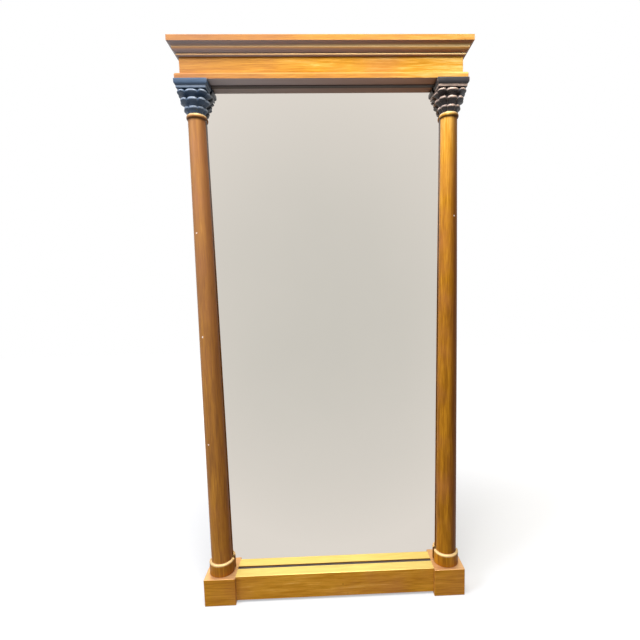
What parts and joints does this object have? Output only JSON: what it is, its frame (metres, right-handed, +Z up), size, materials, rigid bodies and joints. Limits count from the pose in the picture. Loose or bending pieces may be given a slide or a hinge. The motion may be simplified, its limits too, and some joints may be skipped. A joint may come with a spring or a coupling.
{
  "type": "giltwood mirror",
  "caption": "Tall giltwood pier mirror: plain plate between tapered half columns with ebonised leaf capitals, on plinth blocks, under a mitred cornice. Hangs by rings or stands.",
  "frame": {"origin": "on the floor, under the middle of the bounding box", "axes": "+X along the front to the right as seen from the front, +Y back to the wall, +Z up"},
  "size_m": [0.625, 0.076, 1.24],
  "materials": {
    "gilt_wood": "aged gilding over gesso, satin",
    "ebonised_wood": "ebonised, satin",
    "stained_wood": "dark stained, matt",
    "bare_pine": "bare, darkened with age",
    "mirror_glass": "silvered plate",
    "steel": "dull steel",
    "brass": "tarnished brass"
  },
  "bodies": {
    "mirror": {"cornice_front": "gilt_wood", "cornice_return_left": "gilt_wood", "cornice_return_right": "gilt_wood", "frieze_board": "gilt_wood", "frieze_end_left": "gilt_wood", "frieze_end_right": "gilt_wood", "architrave_front": "gilt_wood", "architrave_return_left": "gilt_wood", "architrave_return_right": "gilt_wood", "column_shaft_left": "gilt_wood", "column_shaft_right": "gilt_wood", "base_ring_left": "gilt_wood", "base_ring_right": "gilt_wood", "plinth_block_left": "gilt_wood", "plinth_block_right": "gilt_wood", "base_rail": "gilt_wood", "capital_left": "ebonised_wood", "capital_right": "ebonised_wood", "stile_left": "stained_wood", "stile_right": "stained_wood", "head_rail": "stained_wood", "foot_rail": "stained_wood", "top_board": "bare_pine", "glue_blocks": "bare_pine", "glass_blocks": "bare_pine", "back_board_1": "bare_pine", "back_board_2": "bare_pine", "back_board_3": "bare_pine", "joint_pegs": "bare_pine", "rail_dowels": "bare_pine", "mirror_plate": "mirror_glass", "frame_screws": "steel", "board_screws": "steel", "hanger_screws": "steel", "hanger_strap_left": "brass", "hanger_strap_right": "brass"},
    "ring_left": {"hanger_ring_left": "brass"},
    "ring_right": {"hanger_ring_right": "brass"}
  },
  "joints": [
    {"name": "ring_left_swing", "type": "hinge", "parent": "mirror", "child": "ring_left", "pos_m": [-0.2764, 0.0336, 0.93], "axis": [1, 0, 0], "range_deg": [0, 180]},
    {"name": "ring_right_swing", "type": "hinge", "parent": "mirror", "child": "ring_right", "pos_m": [0.2764, 0.0336, 0.93], "axis": [1, 0, 0], "range_deg": [0, 180]}
  ]
}
